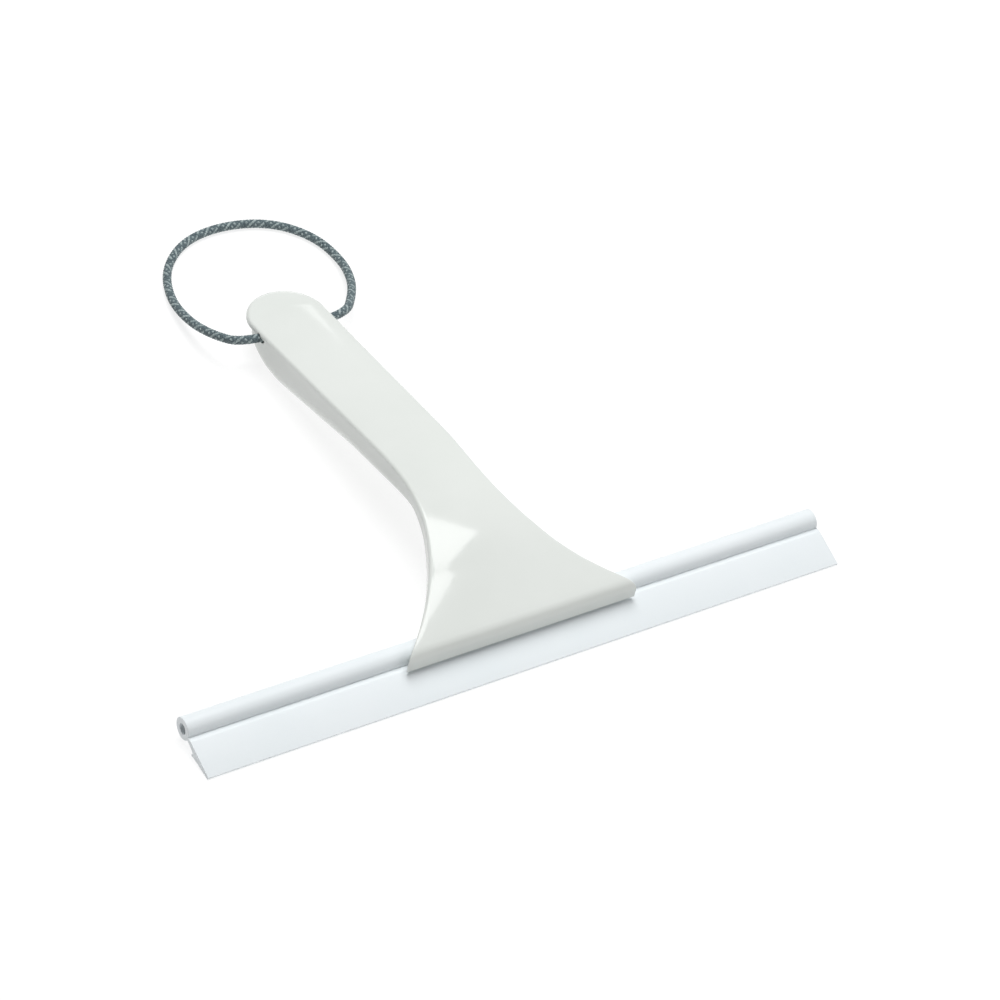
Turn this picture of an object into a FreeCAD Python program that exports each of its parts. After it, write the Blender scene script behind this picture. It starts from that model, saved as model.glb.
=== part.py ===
import FreeCAD, Part
import Sketcher
import math
import os

# Window squeegee with a moulded handle, a bead-and-lip blade and a hanging loop.
# Frame: X along the blade, Y from the blade's working edge towards the grip's end,
# Z up. The tool lies on a table (Z = 0) on its lip and on the underside of the grip.
# Outlines use stations: the distance in Y from the blade's working edge.

V = FreeCAD.Vector
doc = FreeCAD.newDocument("squeegee")

SIZES = {
    # whole tool
    "overall_length": 181.0,     # working edge to the far end of the grip
    "blade_length": 240.0,
    "holder_width": 87.4,        # handle at the blade
    "waist_width": 26.4,         # narrowest part of the grip
    "grip_width": 28.6,          # at the grip's rounded end
    "wall": 1.8,
    # blade
    "bead_diameter": 7.8,
    "bead_bore": 3.6,
    "bead_station": 17.84,
    "bead_height": 5.45,
    "rod_diameter": 3.5,
    "rod_recess": 12.0,          # from each end of the bead
    "hinge_station": 14.0,       # thin neck where the lip bends
    "hinge_height": 4.52,
    "neck_radius": 0.6,
    "lip_length": 14.4,
    "lip_slope": 15.7,           # degrees below horizontal
    "channel_clearance": 0.08,
    # handle side view
    "nose_station": 10.6,
    "flare_end": 75.0,           # the flare runs from the nose to here
    "flare_power": 2.35,
    "flare_slope": 20.4,         # degrees
    "grip_slope": 8.07,          # degrees
    "crest_station": 61.0,       # where the flare's and the grip's lines cross
    "crest_height": 30.6,
    "crest_radius": 110.0,
    "roll_radius": 4.2,          # roll-over above the bead
    "roll_foot": 5.8,            # lowest edge of the roll-over
    "taper_end": 170.0,          # station where the grip reaches its full width
    "rim_depth": 2.5,            # front shell's side band along the grip
    "skirt_depth": 6.0,          # and along the flare
    "rear_inset": 1.2,           # rear shell set in below the front shell's edge
    "pad_start": 150.0,          # flat underside that the grip rests on
    # fasteners and cord
    "screw_shank": 2.9,
    "screw_head": 5.6,
    "boss_diameter": 6.6,
    "edge_radius": 1.2,          # front shell's upper edge
    "belly_slope": 12.5,         # degrees
    "stern_start": 156.0,        # where the rear shell's underside begins to rise
    "stern_radius": 19.0,
    "stern_slope": 70.0,         # degrees, at the top of the rise
    "plate_depth": 2.4,          # rear plate under the flare
    "jaw_foot": 0.25,            # underside of the jaw below the bead
    "belly_radius": 5.5,         # rear shell's lower edges
    "cord_diameter": 3.2,
    "cord_hole": 4.2,
    "cord_station": 161.8,
    "cord_height": 12.6,
    "knot_radius": 3.9,
    "knot_drop": 4.6,            # knot's middle below the cord's axis
}

sheet = doc.addObject("Spreadsheet::Sheet", "Sizes")
for row, (alias, value) in enumerate(SIZES.items(), start=1):
    sheet.set(f"A{row}", alias)
    sheet.set(f"B{row}", str(value))
    sheet.setAlias(f"B{row}", alias)
doc.recompute()


def size(alias):
    return float(sheet.get(alias))


def across(station):
    """Y of a station."""
    return station - size("overall_length") / 2


# ---------------------------------------------------------------- helpers

YZ_SKETCH = FreeCAD.Rotation(V(0, 1, 0), V(0, 0, 1), V(1, 0, 0), "ZXY")
XZ_SKETCH = FreeCAD.Rotation(V(1, 0, 0), V(0, 0, 1), V(0, -1, 0), "ZXY")


def rounded_chain(corners, radii):
    """Lines through the corners with a tangent arc at each corner that has a radius."""
    edges = []
    count = len(corners)
    starts, ends = [], []
    for i in range(count):
        here, before, after = corners[i], corners[i - 1], corners[(i + 1) % count]
        back = (before - here).normalize()
        ahead = (after - here).normalize()
        radius = radii.get(i, 0)
        if radius:
            half = back.getAngle(ahead) / 2
            reach = radius / math.tan(half)
            first, last = here + back * reach, here + ahead * reach
            middle_way = (back + ahead).normalize()
            centre = here + middle_way * (radius / math.sin(half))
            edges.append((i, Part.Arc(first, centre - middle_way * radius, last)))
        else:
            first = last = here
        starts.append(first)
        ends.append(last)
    chain = []
    arcs = dict(edges)
    for i in range(count):
        if i in arcs:
            chain.append(arcs[i])
        chain.append(Part.LineSegment(ends[i], starts[(i + 1) % count]))
    return chain


def flat_sketch(name, geometry, rotation=FreeCAD.Rotation()):
    """A sketch that holds the given outlines, in the XY plane or turned to YZ."""
    sketch = doc.addObject("Sketcher::SketchObject", name)
    for curve in geometry:
        sketch.addGeometry(curve, False)
    sketch.Placement = FreeCAD.Placement(V(0, 0, 0), rotation)
    return sketch


def extrusion(name, sketch, length_expression):
    """A solid from a sketch, extended evenly to both sides of its plane."""
    solid = doc.addObject("Part::Extrusion", name)
    solid.Base = sketch
    solid.DirMode = "Normal"
    solid.Solid = True
    solid.Symmetric = True
    solid.setExpression("LengthFwd", length_expression)
    return solid


def boolean(kind, name, base, tool):
    result = doc.addObject(f"Part::{kind}", name)
    result.Base = base
    result.Tool = tool
    return result


def cylinder(name, radius, height, place, direction=V(0, 0, 1)):
    """A cylinder whose radius and height are expressions."""
    solid = doc.addObject("Part::Cylinder", name)
    solid.setExpression("Radius", radius)
    solid.setExpression("Height", height)
    solid.Placement = FreeCAD.Placement(place, FreeCAD.Rotation(V(0, 0, 1), direction))
    return solid


# ------------------------------------------------------- handle outlines

FLARE_SLOPE = math.tan(math.radians(size("flare_slope")))
GRIP_SLOPE = math.tan(math.radians(size("grip_slope")))


def flare_line(station):
    return size("crest_height") + FLARE_SLOPE * (station - size("crest_station"))


def grip_line(station):
    return size("crest_height") - GRIP_SLOPE * (station - size("crest_station"))


def half_width(station):
    """Half the handle's width: a concave flare that runs into a slightly tapered grip."""
    waist = size("waist_width") / 2
    grip = size("grip_width") / 2
    start, end = size("nose_station"), size("flare_end")
    if station < end:
        left = 1 - (station - start) / (end - start)
        return waist + (size("holder_width") / 2 - waist) * left ** size("flare_power")
    return waist + (grip - waist) * (station - end) / (size("taper_end") - end)


def plan_outline(inset):
    """Top-view outline of the handle, moved inwards by the inset."""
    start, end = size("nose_station"), size("flare_end")
    straight_end = size("overall_length") - size("grip_width") / 2
    steps = 9
    flare = [start + (end - start) * (i / steps) ** 1.3 for i in range(steps + 1)]
    right = [V(half_width(s) - inset, across(s), 0) for s in flare]
    left = [V(-p.x, p.y, 0) for p in right]
    shoulder = V(size("grip_width") / 2 - inset, across(straight_end), 0)
    tip = V(0, across(size("overall_length")) - inset, 0)
    mirror = V(-shoulder.x, shoulder.y, 0)
    curves = []
    for side in (right, left):
        spline = Part.BSplineCurve()
        spline.interpolate(side)
        curves.append(spline)
    return [
        curves[0],
        Part.LineSegment(right[-1], shoulder),
        Part.Arc(shoulder, tip, mirror),
        Part.LineSegment(left[-1], mirror),
        curves[1],
        Part.LineSegment(left[0], right[0]),
    ]


def side(points, radii):
    """A closed side-view outline from stations and heights."""
    corners = [V(across(s), height, 0) for s, height in points]
    return rounded_chain(corners, radii)


def handle_column(name, inset, side_geometry):
    """Solid with the handle's top-view outline and the given side view."""
    plan = flat_sketch(name + "_plan", plan_outline(inset))
    profile = flat_sketch(name + "_side", side_geometry, YZ_SKETCH)
    plan_solid = extrusion(name + "_plan_solid", plan, "Sizes.blade_length")
    side_solid = extrusion(name + "_side_solid", profile, "Sizes.blade_length")
    return boolean("Common", name, plan_solid, side_solid)


END = size("overall_length") + 5
WALL = size("wall")
ROLL_FOOT = size("roll_foot")
BEAD = V(0, across(size("bead_station")), size("bead_height"))
CREST = (size("crest_station"), size("crest_height"))

PARTING_START = 4.5      # the two shells meet from here behind the bead's axis
PARTING_RISE = 9.0       # and have climbed to the skirt's edge here
SKIRT_END = 50.0         # station where the skirt starts to grow shallower
RIM_START = 168.0       # from here to the end the rim has its plain depth
WAIST_DROP = 1.2         # extra depth of the front shell's rim at the waist

# The line along which the two shells meet, from the channel to the far end.
RISEN = size("bead_station") + PARTING_RISE
PARTING = [
    (size("bead_station") + PARTING_START, size("bead_height")),
    (RISEN, flare_line(RISEN) - size("skirt_depth")),
    (SKIRT_END, flare_line(SKIRT_END) - size("skirt_depth")),
    (size("flare_end"), grip_line(size("flare_end")) - size("rim_depth") - WAIST_DROP),
    (RIM_START, grip_line(RIM_START) - size("rim_depth")),
    (END, grip_line(END) - size("rim_depth")),
]


# --------------------------------------------------------------- shells

SCREW_STATIONS = (90.0, 128.0)
SEAT_DEPTH = 11.0        # screw seat below the grip's front face
TIP_DEPTH = 2.6          # screw tip below the same face
CORD_AXIS = V(0, across(size("cord_station")), size("cord_height"))
CAVITY_START = size("bead_station") + PARTING_RISE
CAVITY_END = 171.0       # the grip's end is solid, behind the rear shell's stern
REACH = size("blade_length")


def channel(name):
    """The round channel that holds the blade's bead."""
    return cylinder(name, "Sizes.bead_diameter / 2 + Sizes.channel_clearance", "Sizes.blade_length",
                    BEAD - V(REACH / 2, 0, 0), V(1, 0, 0))


def cord_bore(name):
    return cylinder(name, "Sizes.cord_hole / 2", "Sizes.blade_length",
                    CORD_AXIS - V(REACH / 2, 0, 0), V(1, 0, 0))


def at_screws(name, radius, low, high):
    """Upright cylinders at the screws, between two depths below the grip's face."""
    posts = []
    for number, station in enumerate(SCREW_STATIONS, start=1):
        face = grip_line(station)
        place = V(0, across(station), face - low)
        posts.append(cylinder(f"{name}_{number}", radius, str(low - high), place))
    return posts


def fused(name, parts):
    result = doc.addObject("Part::MultiFuse", name)
    result.Shapes = parts
    return result


def cut_all(name, base, tools):
    """The base less each tool in turn."""
    result = base
    for number, tool in enumerate(tools, start=1):
        result = boolean("Cut", f"{name}_cut_{number}", result, tool)
    return result


def rounded_edges(name, base, radius, chosen):
    """A fillet on the edges that the test picks."""
    doc.recompute()
    picked = [(number, radius, radius) for number, edge in enumerate(base.Shape.Edges, start=1)
              if chosen(edge)]
    result = doc.addObject("Part::Fillet", name)
    result.Base = base
    result.Edges = picked
    return result


def height_at(line, station):
    """Height of a broken line of (station, height) points."""
    for (s0, h0), (s1, h1) in zip(line, line[1:]):
        if s0 <= station <= s1:
            return h0 + (h1 - h0) * (station - s0) / (s1 - s0)
    return line[-1][1]


def front_shell():
    nose = size("nose_station")
    lead = nose - 3.0
    top = [(lead, ROLL_FOOT), (lead, flare_line(lead)), CREST, (END, grip_line(END))]
    below = PARTING[::-1] + [(size("bead_station"), ROLL_FOOT)]
    square = handle_column("front_square", 0.0, side(top + below, {2: size("crest_radius")}))

    def on_top_edge(edge):
        middle = edge.valueAt((edge.FirstParameter + edge.LastParameter) / 2)
        above = middle.z - height_at(PARTING, middle.y + size("overall_length") / 2)
        return abs(middle.x) > 1 and edge.BoundBox.YLength > 1 and above > size("rim_depth") - 0.6

    soft = rounded_edges("front_soft", square, size("edge_radius"), on_top_edge)
    trim = [(nose, -5.0), (nose, flare_line(nose)), CREST, (CREST[0], 60.0), (END, 60.0), (END, -5.0)]
    roll_side = flat_sketch("front_roll_side", side(trim, {1: size("roll_radius")}), YZ_SKETCH)
    roll = extrusion("front_roll", roll_side, "Sizes.blade_length")
    outer = boolean("Common", "front_outer", soft, roll)
    inner_top = [
        (CAVITY_START, flare_line(CAVITY_START) - WALL),
        (CREST[0], CREST[1] - WALL),
        (CAVITY_END, grip_line(CAVITY_END) - WALL),
        (CAVITY_END, 0.0),
        (CAVITY_START, 0.0),
    ]
    inner = handle_column("front_cavity", WALL, side(inner_top, {1: size("crest_radius")}))
    hollow = boolean("Cut", "front_hollow", outer, inner)
    bosses = at_screws("front_boss", "Sizes.boss_diameter / 2", SEAT_DEPTH - 2.0, 0.9)
    pilots = at_screws("front_pilot", "Sizes.screw_shank / 2 - 0.3", SEAT_DEPTH, TIP_DEPTH)
    solid = fused("front_with_bosses", [hollow] + bosses)
    return cut_all("front", solid, pilots + [channel("front_channel"), cord_bore("front_cord_bore")])


def u_sections(name, stations, inset, bottom, radius, top=40.0):
    """Sketches of a U across the handle at each station, for a loft."""
    sketches = []
    for number, station in enumerate(stations, start=1):
        half = half_width(min(station, size("taper_end"))) - inset
        low = bottom(station)
        corners = [V(-half, top, 0), V(-half, low, 0), V(half, low, 0), V(half, top, 0)]
        round_by = radius(station)
        outline = rounded_chain(corners, {1: round_by, 2: round_by})
        sketch = flat_sketch(f"{name}_{number}", outline, XZ_SKETCH)
        sketch.Placement.Base = V(0, across(station), 0)
        sketches.append(sketch)
    return sketches


def loft(name, sections):
    solid = doc.addObject("Part::Loft", name)
    solid.Sections = sections
    solid.Solid = True
    solid.Ruled = True
    return solid


def rear_shell():
    """Underside: a boat-shaped hollow under the grip, a plate under the flare and a jaw."""
    bead_s = size("bead_station")
    length = size("overall_length")
    inset = size("rear_inset")
    pad_start = size("pad_start")
    belly_slope = math.tan(math.radians(size("belly_slope")))
    belly_start = size("flare_end") - 17.0
    stern_turn = math.radians(size("stern_slope"))
    jaw_start, jaw_foot = bead_s - 2.6, size("jaw_foot")
    plate = size("skirt_depth") + size("plate_depth")

    def belly(station):
        return belly_slope * (pad_start - station)

    def corner_radius(station):
        share = min(1.0, max(0.0, (station - belly_start) / 45.0))
        return 1.0 + (size("belly_radius") - 1.0) * share

    def boat(name, start, shrink):
        """The grip's underside, moved inwards by a wall's thickness or by nothing."""
        stations = (start, start + 15, start + 30, start + 60, start + 90, length + 5)
        ribs = u_sections(name + "_rib", stations, inset + shrink, lambda at: belly(at) + shrink,
                          lambda at: max(0.8, corner_radius(at) - shrink))
        corner = size("stern_start") + (size("stern_radius") - shrink) * math.tan(stern_turn / 2)
        last = corner + 25.0 / math.tan(stern_turn)
        low = [(start, 40.0), (start, shrink), (corner, shrink), (last, shrink + 25.0), (last, 40.0)]
        column = handle_column(name + "_column", inset + shrink,
                               side(low, {2: size("stern_radius") - shrink}))
        return boolean("Common", name, loft(name + "_hull", ribs), column)

    meet = (flare_line(0) - plate - belly(0)) / -(FLARE_SLOPE + belly_slope)
    under = [
        (jaw_start, size("bead_height")),
        (jaw_start, jaw_foot),
        (bead_s + 1.6, jaw_foot),
        (bead_s + 6.2, 3.4),
        (bead_s + 10.0, flare_line(bead_s + 10.0) - plate),
        (meet, belly(meet)),
        (meet + 16.0, belly(meet + 16.0) + 2.0),
        (meet + 16.0, 40.0),
        (jaw_start, 40.0),
    ]
    apron = handle_column("rear_apron", inset, side(under, {5: 35.0}))
    body = fused("rear_body", [apron, boat("rear_boat", belly_start, 0.0)])
    below = [p for p in PARTING] + [(END, -5.0), (5.0, -5.0), (5.0, size("bead_height"))]
    lower = extrusion("rear_lower", flat_sketch("rear_lower_side", side(below, {}), YZ_SKETCH),
                      "Sizes.blade_length")
    outer = boolean("Common", "rear_outer", body, lower)
    hollow = boolean("Cut", "rear_hollow", outer, boat("rear_cavity", size("flare_end") - 4.0, WALL))
    posts = at_screws("rear_post", "Sizes.screw_head / 2 + 1.9", SEAT_DEPTH + 2.6, SEAT_DEPTH - 1.9)
    recesses = at_screws("rear_recess", "Sizes.screw_head / 2 + 0.3", 40.0, SEAT_DEPTH)
    holes = at_screws("rear_hole", "Sizes.screw_shank / 2 + 0.15", SEAT_DEPTH + 1.0, SEAT_DEPTH - 3.0)
    solid = fused("rear_with_posts", [hollow] + posts)
    bores = [channel("rear_channel"), cord_bore("rear_cord_bore")]
    return cut_all("rear", solid, recesses + holes + bores)


# ---------------------------------------------------------------- blade

def body_on(plane, name):
    """A PartDesign body and a sketch on one of its own origin planes."""
    body = doc.addObject("PartDesign::Body", name)
    sketch = body.newObject("Sketcher::SketchObject", name + "_sketch")
    base = [f for f in body.Origin.OriginFeatures if f.Role == plane][0]
    sketch.AttachmentSupport = [(base, "")]
    sketch.MapMode = "FlatFace"
    return body, sketch


def circle(sketch, y, z, diameter):
    """A circle in a sketch, held by constraints that read the sheet."""
    index = sketch.addGeometry(Part.Circle(V(1, 1, 0), V(0, 0, 1), 1.0), False)
    for kind, expression in (("DistanceX", y), ("DistanceY", z)):
        sketch.addConstraint(Sketcher.Constraint(kind, -1, 1, index, 3, 1.0))
        sketch.setExpression(f"Constraints[{sketch.ConstraintCount - 1}]", expression)
    sketch.addConstraint(Sketcher.Constraint("Diameter", index, 2.0))
    sketch.setExpression(f"Constraints[{sketch.ConstraintCount - 1}]", diameter)


def pad(body, sketch, length):
    feature = body.newObject("PartDesign::Pad", body.Name + "_pad")
    feature.Profile = sketch
    feature.SideType = "Symmetric"
    feature.setExpression("Length", length)
    return feature


BEAD_Y = "Sizes.bead_station - Sizes.overall_length / 2"
NECK_Y = "Sizes.hinge_station - Sizes.overall_length / 2"
NECK = V(0, across(size("hinge_station")), size("hinge_height"))


def blade_bead():
    """Soft tube along the blade, with a groove where the lip's root sits."""
    body, sketch = body_on("YZ_Plane", "bead_body")
    circle(sketch, BEAD_Y, "Sizes.bead_height", "Sizes.bead_diameter")
    circle(sketch, BEAD_Y, "Sizes.bead_height", "Sizes.bead_bore")
    pad(body, sketch, "Sizes.blade_length")
    groove = cylinder("bead_groove", "Sizes.neck_radius + 0.05", "Sizes.blade_length + 2",
                      NECK - V(REACH / 2 + 1, 0, 0), V(1, 0, 0))
    return boolean("Cut", "bead", body, groove)


def blade_lip():
    """Wedge-shaped lip: thin neck, shoulder with a barb on its back, thin working edge."""
    slope = math.radians(size("lip_slope"))
    along = V(-math.cos(slope), -math.sin(slope), 0)
    front = V(-math.sin(slope), math.cos(slope), 0)
    neck = V(NECK.y, NECK.z, 0)

    def at(distance, out):
        return neck + along * distance + front * out

    root = size("neck_radius")
    tip = size("lip_length")
    corners = [at(0, root), at(1.6, 0.95), at(tip, 0.28), at(tip, -0.62), at(5.4, -2.55), at(3.9, -3.15),
               at(4.4, -1.75), at(3.4, -1.15), at(1.4, -0.8), at(0, -root)]
    outline = [Part.LineSegment(a, b) for a, b in zip(corners, corners[1:])]
    outline.append(Part.Arc(corners[-1], neck - along * root, corners[0]))
    body, sketch = body_on("YZ_Plane", "lip_body")
    for curve in outline:
        sketch.addGeometry(curve, False)
    pad(body, sketch, "Sizes.blade_length")
    return body


def stiffening_rod():
    body, sketch = body_on("YZ_Plane", "rod_body")
    circle(sketch, BEAD_Y, "Sizes.bead_height", "Sizes.rod_diameter")
    pad(body, sketch, "Sizes.blade_length - 2 * Sizes.rod_recess")
    return body


# ------------------------------------------------------ screws and cord

def shell_screws():
    """Two pan-head screws, driven from below the grip into the front shell's bosses."""
    shank, head = size("screw_shank") / 2, size("screw_head") / 2
    solids = []
    for number, station in enumerate(SCREW_STATIONS, start=1):
        seat = grip_line(station) - SEAT_DEPTH
        length = SEAT_DEPTH - TIP_DEPTH - 0.4
        corners = [V(0, -1.9, 0), V(head, -1.9, 0), V(head, 0, 0), V(shank, 0, 0),
                   V(shank, length - 1.2, 0), V(0, length, 0)]
        body, sketch = body_on("XZ_Plane", f"screw_body_{number}")
        for curve in rounded_chain(corners, {1: 0.9}):
            sketch.addGeometry(curve, False)
        turned = body.newObject("PartDesign::Revolution", f"screw_turned_{number}")
        turned.Profile = sketch
        turned.ReferenceAxis = (sketch, ["V_Axis"])
        turned.Angle = 360.0
        slot = cylinder(f"screw_recess_{number}", "Sizes.screw_head / 4", "1.0", V(0, 0, -1.9))
        screw = boolean("Cut", f"screw_{number}", body, slot)
        screw.Placement = FreeCAD.Placement(V(0, across(station), seat), FreeCAD.Rotation())
        solids.append(screw)
    group = doc.addObject("Part::Compound", "screws")
    group.Links = solids
    return group


def tube_path(points):
    """Straight runs joined by tangent arcs, each as large as its two runs allow."""
    edges = []
    radii = []
    start = points[0]
    for before, corner, after in zip(points, points[1:], points[2:]):
        back, ahead = before - corner, after - corner
        shorter = min(back.Length, ahead.Length)
        back.normalize()
        ahead.normalize()
        reach = 0.45 * shorter
        half = back.getAngle(ahead) / 2
        radius = reach * math.tan(half)
        first, last = corner + back * reach, corner + ahead * reach
        middle_way = (back + ahead).normalize()
        centre = corner + middle_way * (radius / math.sin(half))
        edges.append(Part.LineSegment(start, first).toShape())
        edges.append(Part.Arc(first, centre - middle_way * radius, last).toShape())
        radii.append(radius)
        start = last
    edges.append(Part.LineSegment(start, points[-1]).toShape())
    return Part.Wire(edges), radii


def tube(points, diameter, name):
    """A round tube along the path; its volume is compared with section times length."""
    path, radii = tube_path(points)
    start, towards = points[0], points[1] - points[0]
    ring = Part.Wire(Part.makeCircle(diameter / 2, start, towards))
    solid = path.makePipeShell([ring], True, False)
    ideal = math.pi * diameter ** 2 / 4 * path.Length
    print(name, "length", round(path.Length, 1), "radii", [round(r, 1) for r in radii],
          "volume ratio", round(solid.Volume / ideal, 4))
    return solid


GRIP_SIDE = 8.5      # half the gap between the ends of the loop, inside the grip

# The loop's route: half-turn about the grip's end, in X, station and height.
LOOP_ROUTE = [
    (-GRIP_SIDE, 161.8, 12.6), (-20.5, 161.8, 12.6), (-25.9, 172.0, 9.6), (-27.3, 186.0, 4.9),
    (-25.8, 202.0, 1.8), (-19.6, 217.0, 1.65), (-6.4, 228.0, 1.65), (11.0, 230.6, 1.65),
    (28.1, 225.6, 1.65), (38.7, 213.0, 1.65), (41.1, 197.5, 1.8), (36.8, 184.0, 4.7),
    (29.6, 172.8, 8.6), (20.5, 161.8, 12.6), (GRIP_SIDE, 161.8, 12.6),
]


def hang_cord():
    points = [V(x, across(station), z) for x, station, z in LOOP_ROUTE]
    feature = doc.addObject("Part::Feature", "cord")
    feature.Shape = tube(points, size("cord_diameter"), "hang_cord")
    return feature


def cord_knot():
    """The cord's two ends inside the grip, drawn together into a knot of three turns."""
    diameter = size("cord_diameter")
    station, high = size("cord_station"), size("cord_height")
    low = high - size("knot_drop")
    legs = []
    for way in (-1, 1):
        ends = [(GRIP_SIDE, high), (5.2, high), (4.4, low), (1.0, low)]
        points = [V(way * x, across(station), z) for x, z in ends]
        legs.append(tube(points, diameter, "knot leg"))
    ring = size("knot_radius") - diameter / 2
    turns = [Part.makeTorus(ring, diameter / 2, V(x, across(station), low), V(1, 0, 0))
             for x in (-1.9, 0.0, 1.9)]
    feature = doc.addObject("Part::Feature", "knot")
    core = Part.makeCylinder(ring, 3.8, V(-1.9, across(station), low), V(1, 0, 0))
    feature.Shape = core.fuse(turns + legs).removeSplitter()
    return feature


# --------------------------------------------------------------- export

NODES = {
    "front_shell": front_shell(),
    "rear_shell": rear_shell(),
    "shell_screws": shell_screws(),
    "blade_bead": blade_bead(),
    "blade_lip": blade_lip(),
    "stiffening_rod": stiffening_rod(),
    "hang_cord": hang_cord(),
    "cord_knot": cord_knot(),
}
doc.recompute()

for thing in doc.Objects:
    if "Invalid" in thing.State or "Error" in thing.State:
        raise RuntimeError(f"{thing.Name} failed: {thing.State}")
os.makedirs("parts", exist_ok=True)
for node, thing in NODES.items():
    thing.Label = node
    shape = thing.Shape
    if shape.isNull() or not shape.isValid():
        raise RuntimeError(f"{node} has no valid shape")
    box = shape.optimalBoundingBox()
    print(node, "solids", len(shape.Solids), "volume", round(shape.Volume),
          "box", [round(c, 2) for c in (box.XMin, box.YMin, box.ZMin, box.XMax, box.YMax, box.ZMax)])
    shape.exportStep(f"parts/{node}.step")
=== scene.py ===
import math

import bmesh
import bpy
import numpy as np
from mathutils import Matrix, Vector


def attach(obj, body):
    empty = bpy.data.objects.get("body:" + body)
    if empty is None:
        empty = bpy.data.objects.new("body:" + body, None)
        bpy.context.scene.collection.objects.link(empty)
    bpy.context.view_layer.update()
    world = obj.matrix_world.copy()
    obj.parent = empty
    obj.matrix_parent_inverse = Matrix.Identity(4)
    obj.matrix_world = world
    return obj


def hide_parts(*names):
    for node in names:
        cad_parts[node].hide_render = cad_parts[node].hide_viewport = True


# Window squeegee: moulded two-part handle, bead-and-lip blade and a braided hanging loop.
# X runs along the blade, Y from the blade's working edge towards the grip's end, Z up.
# Shapes are worked out in millimetres and stored in metres. A station is the distance
# in Y from the blade's working edge.

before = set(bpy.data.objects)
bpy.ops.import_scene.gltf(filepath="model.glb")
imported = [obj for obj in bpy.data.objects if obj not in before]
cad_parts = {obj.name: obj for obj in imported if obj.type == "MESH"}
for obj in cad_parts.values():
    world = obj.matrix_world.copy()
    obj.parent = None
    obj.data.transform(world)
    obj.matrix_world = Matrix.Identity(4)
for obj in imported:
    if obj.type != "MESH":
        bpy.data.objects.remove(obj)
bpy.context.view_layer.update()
scene = bpy.context.scene
MM = 0.001

# ---------------------------------------------------------------- sizes, in millimetres

LENGTH = 181.0             # working edge to the far end of the grip
BLADE_LENGTH = 240.0
HOLDER_HALF = 43.7         # half the handle's width at the blade
WAIST_HALF = 13.2
GRIP_HALF = 14.3           # and the radius of the grip's rounded end
WALL = 1.8
NOSE = 10.6                # station of the handle's front edge
FLARE_END = 75.0
FLARE_POWER = 2.35
FLARE_SLOPE = math.tan(math.radians(20.4))
GRIP_SLOPE = math.tan(math.radians(8.07))
FOLD_SLOPE = math.tan(math.radians(-2.5))  # the end tilts up from the grip's line
CREST = (61.0, 30.6)       # where the flare's and the grip's lines cross
CREST_RADIUS = 110.0
FOLD = 171.5               # middle of the curved crease in front of the rounded end
FOLD_BOW = 6.0             # the crease's ends lie this much nearer the blade
FOLD_SOFTNESS = 0.7        # half the length over which the crease turns
END_CENTRE = LENGTH - GRIP_HALF
ROLL_RADIUS = 4.2          # roll-over above the bead
ROLL_FOOT = 5.8            # lowest edge of the roll-over
EDGE_RADIUS = 1.1
CROWN = 1.0                # the front face's middle stands this much above its edges
SKIRT_DEPTH = 6.0          # front shell's side band along the flare
RIM_DEPTH = 2.5            # front shell's side band along the grip
PARTING_START = 4.5        # the two shells meet from here behind the bead's axis
PARTING_RISE = 9.0         # and their joint has climbed to the skirt's edge here
SKIRT_END = 50.0           # station where the skirt starts to grow shallower
WAIST_DROP = 1.2           # extra depth of the front shell's rim at the waist
RIM_START = 168.0          # station from which the rim has its plain depth
RIM_FOLD = 170.0           # station from which the rim follows the tilted end
BEAD = (17.84, 5.45)       # station and height of the bead's axis
BEAD_RADIUS = 3.9
BORE_RADIUS = 1.8
CHANNEL_RADIUS = 3.98
CORD_AXIS = (161.8, 12.6)
CORD_HOLE_RADIUS = 2.1
CORD_DIAMETER = 3.2
CAVITY_START = BEAD[0] + PARTING_RISE
CAVITY_END = 171.0
JAW_FOOT = 0.25            # underside of the jaw below the bead
PLATE_DEPTH = 2.4          # rear shell's thickness under the flare
REAR_INSET = 1.2           # rear shell set in below the front shell's edge
BELLY_SLOPE = math.tan(math.radians(12.5))
BELLY_RADIUS = 5.5
PAD_START = 150.0          # flat underside that the grip rests on
STERN_START = 156.0
STERN_RADIUS = 19.0
STERN_LENGTH = 6.3         # rear shell's end beyond the centre of the front's rounded end
SCREW_STATIONS = (90.0, 128.0)
SEAT_DEPTH = 11.0          # screw seat below the grip's front face
SCREW_HEAD_RADIUS = 2.8
HINGE = (14.0, 4.52)       # thin neck where the lip bends
NECK_RADIUS = 0.6
LIP_LENGTH = 14.4
LIP_SLOPE = 15.7           # degrees below horizontal


def across(station):
    """Y of a station, in millimetres."""
    return station - LENGTH / 2


def metres(x, station, z):
    return Vector((x, across(station), z)) * MM


# ---------------------------------------------------------------- camera

EYE = Vector((-0.5690, -0.73985, 0.8575))
RIGHT = Vector((0.8411, -0.5194, 0.1509))
UP = Vector((0.26492, 0.63884, 0.72227))
FOCAL_LENGTH = 136.8

camera_data = bpy.data.cameras.new("camera")
camera_data.lens = FOCAL_LENGTH
camera_data.sensor_width = 36.0
camera = bpy.data.objects.new("camera", camera_data)
scene.collection.objects.link(camera)
right = RIGHT.normalized()
up = (UP - right * UP.dot(right)).normalized()
axes = Matrix((right, up, right.cross(up))).transposed()
camera.matrix_world = Matrix.Translation(EYE) @ axes.to_4x4()
scene.camera = camera


# ---------------------------------------------------------------- cord route

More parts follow.
